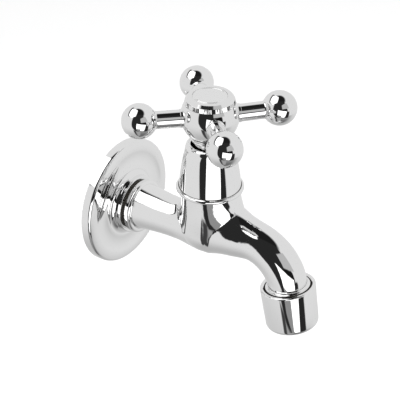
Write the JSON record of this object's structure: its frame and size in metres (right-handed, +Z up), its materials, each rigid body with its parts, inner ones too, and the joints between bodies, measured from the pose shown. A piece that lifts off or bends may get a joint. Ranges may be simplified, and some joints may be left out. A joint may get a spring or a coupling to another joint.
{
  "type": "bib tap",
  "caption": "Wall-mounted bib tap with a cross handle with ball ends, a bell shroud, a curved spout with an aerator nozzle, and a round wall flange.",
  "frame": {"origin": "centre of the wall plane, on the axis of the supply thread", "axes": "+Y into the wall along the supply thread, +Z up along the valve's spindle, the spout reaches out along -Y and the row's own right is +X"},
  "size_m": [0.0616, 0.1214, 0.1064],
  "materials": {
    "chrome_plate": "polished chrome plate",
    "index_disc": "bright satin",
    "brass": "machined brass",
    "fibre": "red fibre",
    "rubber": "black rubber",
    "packing": "waxed packing",
    "steel": "stainless",
    "white_plastic": "moulded"
  },
  "bodies": {
    "body": {"tap_body": "chrome_plate", "wall_flange": "chrome_plate", "shroud": "chrome_plate", "aerator_housing": "chrome_plate", "headwork": "brass", "headwork_washer": "fibre", "shroud_seal": "rubber", "gland_packing": "packing", "gland_nut": "brass", "aerator_washer": "rubber", "aerator_cartridge": "white_plastic", "aerator_diffuser": "white_plastic", "aerator_screens": "steel", "outlet_grid": "white_plastic"},
    "valve": {"jumper_valve": "brass", "jumper_washer": "rubber", "washer_nut": "brass"},
    "handle": {"spindle": "brass", "handle_hub": "chrome_plate", "arm_back_right": "chrome_plate", "arm_back_left": "chrome_plate", "arm_front_left": "chrome_plate", "arm_front_right": "chrome_plate", "index_cap": "chrome_plate", "index_disc": "index_disc", "handle_screw": "steel", "screw_washer": "steel"}
  },
  "joints": [
    {"name": "valve_lift", "type": "slide", "parent": "body", "child": "valve", "axis": [0, 0, 1], "range_m": [0, 0.0049]},
    {"name": "handle_turn", "type": "hinge", "parent": "valve", "child": "handle", "pos_m": [0, -0.0515, 0.0605], "axis": [0, 0, 1], "range_deg": [0, 585]}
  ],
  "couplings": [
    {"joint": "valve_lift", "follows": "handle_turn", "m_per_rad": 0.00047746}
  ]
}
